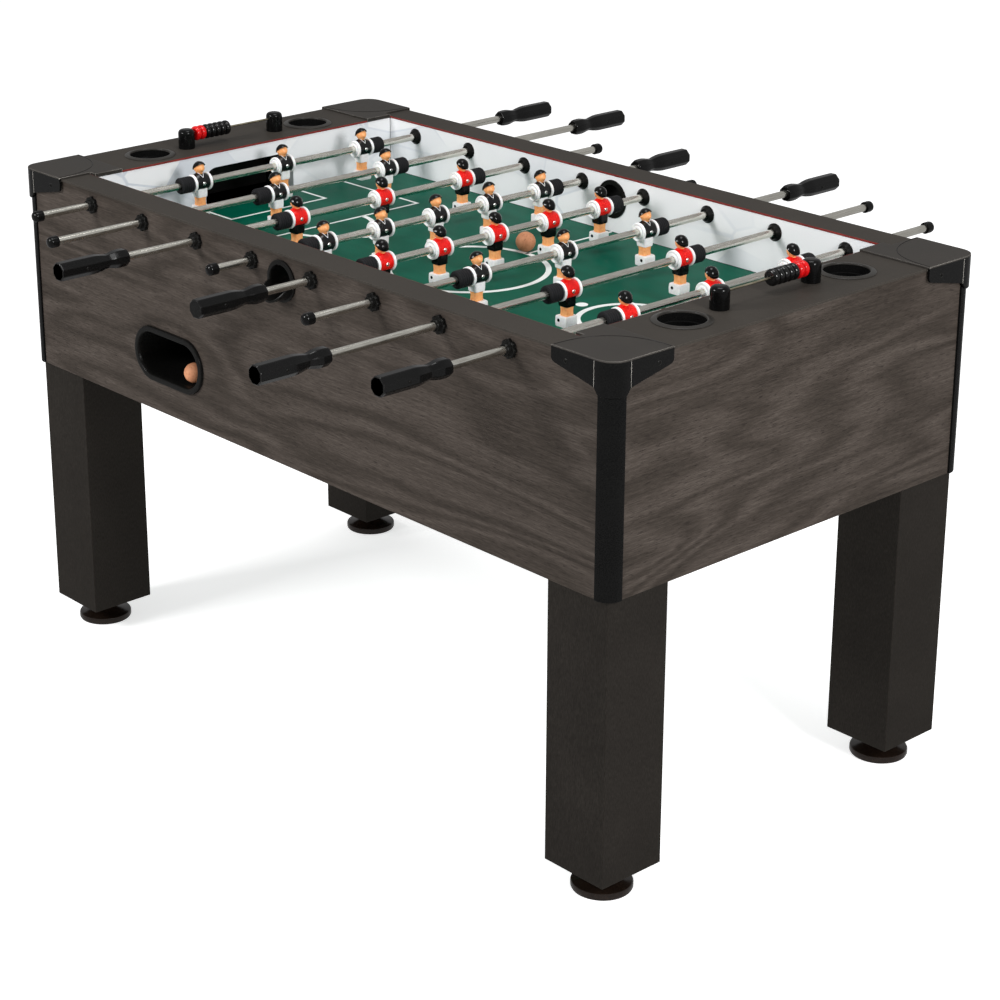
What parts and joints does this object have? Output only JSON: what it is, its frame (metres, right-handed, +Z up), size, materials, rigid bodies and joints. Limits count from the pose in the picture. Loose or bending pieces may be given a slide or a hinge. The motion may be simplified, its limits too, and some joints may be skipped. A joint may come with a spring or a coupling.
{
  "type": "foosball table",
  "caption": "Foosball table with a panelled cabinet on four square legs, sliding and spinning player rods, bead scorers and cup holders.",
  "frame": {"origin": "on the floor, under the middle of the cabinet", "axes": "+X along the cabinet towards the red goal, +Y across it towards the side with the black handles, +Z up"},
  "size_m": [1.463, 1.461, 0.895],
  "materials": {
    "wood_laminate": "dark grey-brown wood-grain laminate, satin",
    "deck_laminate": "fine-textured charcoal laminate, satin",
    "white_laminate": "white laminate with a faint pale geometric print",
    "playfield_green": "deep green laminate with white printed lines",
    "black_gloss": "moulded, glossy",
    "black_satin": "moulded, satin",
    "leg_black": "matt black laminate, slightly textured",
    "rod_chrome": "polished steel tube",
    "handle_black": "moulded octagonal grip, satin sheen",
    "bumper_rubber": "matt rubber",
    "bead_black": "moulded, glossy",
    "bead_red": "moulded, glossy",
    "shirt_red": "painted moulded plastic",
    "shirt_black": "painted moulded plastic",
    "player_white": "moulded plastic",
    "player_skin": "painted moulded plastic",
    "player_hair": "painted, glossy",
    "screw_steel": "zinc-plated screw heads",
    "wire_steel": "plain steel wire",
    "cork": "cork ball"
  },
  "bodies": {
    "root": {"near_side_panel": "wood_laminate", "near_top_rail": "deck_laminate", "near_ball_return": "black_gloss", "near_serving_cup": "black_gloss", "far_side_panel": "wood_laminate", "far_top_rail": "deck_laminate", "far_ball_return": "black_gloss", "far_serving_cup": "black_gloss", "left_end_panel": "wood_laminate", "left_goal_wall": "white_laminate", "left_end_deck": "deck_laminate", "left_scorer_bracket": "black_gloss", "right_end_panel": "wood_laminate", "right_goal_wall": "white_laminate", "right_end_deck": "deck_laminate", "right_scorer_bracket": "black_gloss", "playfield": "playfield_green", "corner_guard_near_left": "black_satin", "leg_near_left": "leg_black", "cup_holder_near_left": "black_gloss", "corner_guard_far_left": "black_satin", "leg_far_left": "leg_black", "cup_holder_far_left": "black_gloss", "corner_guard_near_right": "black_satin", "leg_near_right": "leg_black", "cup_holder_near_right": "black_gloss", "corner_guard_far_right": "black_satin", "leg_far_right": "leg_black", "cup_holder_far_right": "black_gloss"},
    "foot_near_left": {"leveling_foot_near_left": "black_satin"},
    "foot_far_left": {"leveling_foot_far_left": "black_satin"},
    "foot_near_right": {"leveling_foot_near_right": "black_satin"},
    "foot_far_right": {"leveling_foot_far_right": "black_satin"},
    "rod_1_slider": {"rod_1_bumper": "bumper_rubber"},
    "rod_1": {"rod_1_red_goal": "rod_chrome", "rod_1_handle": "handle_black"},
    "rod_2_slider": {"rod_2_bumper": "bumper_rubber"},
    "rod_2": {"rod_2_red_defence": "rod_chrome", "rod_2_handle": "handle_black"},
    "rod_3_slider": {"rod_3_bumper": "bumper_rubber"},
    "rod_3": {"rod_3_black_attack": "rod_chrome", "rod_3_handle": "handle_black"},
    "rod_4_slider": {"rod_4_bumper": "bumper_rubber"},
    "rod_4": {"rod_4_red_midfield": "rod_chrome", "rod_4_handle": "handle_black"},
    "rod_5_slider": {"rod_5_bumper": "bumper_rubber"},
    "rod_5": {"rod_5_black_midfield": "rod_chrome", "rod_5_handle": "handle_black"},
    "rod_6_slider": {"rod_6_bumper": "bumper_rubber"},
    "rod_6": {"rod_6_red_attack": "rod_chrome", "rod_6_handle": "handle_black"},
    "rod_7_slider": {"rod_7_bumper": "bumper_rubber"},
    "rod_7": {"rod_7_black_defence": "rod_chrome", "rod_7_handle": "handle_black"},
    "rod_8_slider": {"rod_8_bumper": "bumper_rubber"},
    "rod_8": {"rod_8_black_goal": "rod_chrome", "rod_8_handle": "handle_black"},
    "left_beads": {"left_scorer_beads": "bead_black"},
    "right_beads": {"right_scorer_beads": "bead_black"},
    "ball": {"ball": "cork"}
  },
  "joints": [
    {"name": "foot_near_left_turn", "type": "hinge", "parent": "root", "child": "foot_near_left", "pos_m": [-0.6555, -0.323, 0], "axis": [0, 0, 1], "continuous": true},
    {"name": "foot_far_left_turn", "type": "hinge", "parent": "root", "child": "foot_far_left", "pos_m": [-0.6555, 0.323, 0], "axis": [0, 0, 1], "continuous": true},
    {"name": "foot_near_right_turn", "type": "hinge", "parent": "root", "child": "foot_near_right", "pos_m": [0.6555, -0.323, 0], "axis": [0, 0, 1], "continuous": true},
    {"name": "foot_far_right_turn", "type": "hinge", "parent": "root", "child": "foot_far_right", "pos_m": [0.6555, 0.323, 0], "axis": [0, 0, 1], "continuous": true},
    {"name": "rod_1_slide", "type": "slide", "parent": "root", "child": "rod_1_slider", "axis": [0, 1, 0], "range_m": [-0.121, 0.077]},
    {"name": "rod_1_spin", "type": "hinge", "parent": "rod_1_slider", "child": "rod_1", "pos_m": [0.5215, 0, 0.831], "axis": [0, 1, 0], "continuous": true},
    {"name": "rod_2_slide", "type": "slide", "parent": "root", "child": "rod_2_slider", "axis": [0, 1, 0], "range_m": [-0.1485, 0.1705]},
    {"name": "rod_2_spin", "type": "hinge", "parent": "rod_2_slider", "child": "rod_2", "pos_m": [0.3725, 0, 0.831], "axis": [0, 1, 0], "continuous": true},
    {"name": "rod_3_slide", "type": "slide", "parent": "root", "child": "rod_3_slider", "axis": [0, 1, 0], "range_m": [-0.099, 0.097]},
    {"name": "rod_3_spin", "type": "hinge", "parent": "rod_3_slider", "child": "rod_3", "pos_m": [0.2235, 0, 0.831], "axis": [0, 1, 0], "continuous": true},
    {"name": "rod_4_slide", "type": "slide", "parent": "root", "child": "rod_4_slider", "axis": [0, 1, 0], "range_m": [-0.033, 0.053]},
    {"name": "rod_4_spin", "type": "hinge", "parent": "rod_4_slider", "child": "rod_4", "pos_m": [0.0745, 0, 0.831], "axis": [0, 1, 0], "continuous": true},
    {"name": "rod_5_slide", "type": "slide", "parent": "root", "child": "rod_5_slider", "axis": [0, 1, 0], "range_m": [-0.036, 0.05]},
    {"name": "rod_5_spin", "type": "hinge", "parent": "rod_5_slider", "child": "rod_5", "pos_m": [-0.0745, 0, 0.831], "axis": [0, 1, 0], "continuous": true},
    {"name": "rod_6_slide", "type": "slide", "parent": "root", "child": "rod_6_slider", "axis": [0, 1, 0], "range_m": [-0.098, 0.098]},
    {"name": "rod_6_spin", "type": "hinge", "parent": "rod_6_slider", "child": "rod_6", "pos_m": [-0.2235, 0, 0.831], "axis": [0, 1, 0], "continuous": true},
    {"name": "rod_7_slide", "type": "slide", "parent": "root", "child": "rod_7_slider", "axis": [0, 1, 0], "range_m": [-0.1705, 0.1485]},
    {"name": "rod_7_spin", "type": "hinge", "parent": "rod_7_slider", "child": "rod_7", "pos_m": [-0.3725, 0, 0.831], "axis": [0, 1, 0], "continuous": true},
    {"name": "rod_8_slide", "type": "slide", "parent": "root", "child": "rod_8_slider", "axis": [0, 1, 0], "range_m": [-0.117, 0.081]},
    {"name": "rod_8_spin", "type": "hinge", "parent": "rod_8_slider", "child": "rod_8", "pos_m": [-0.5215, 0, 0.831], "axis": [0, 1, 0], "continuous": true},
    {"name": "left_beads_slide", "type": "slide", "parent": "root", "child": "left_beads", "axis": [0, 1, 0], "range_m": [0, 0.091]},
    {"name": "right_beads_slide", "type": "slide", "parent": "root", "child": "right_beads", "axis": [0, 1, 0], "range_m": [-0.091, 0]},
    {"name": "ball_roll", "type": "slide", "parent": "root", "child": "ball", "axis": [0, 1, 0], "range_m": [-0.44, 0.17]}
  ]
}
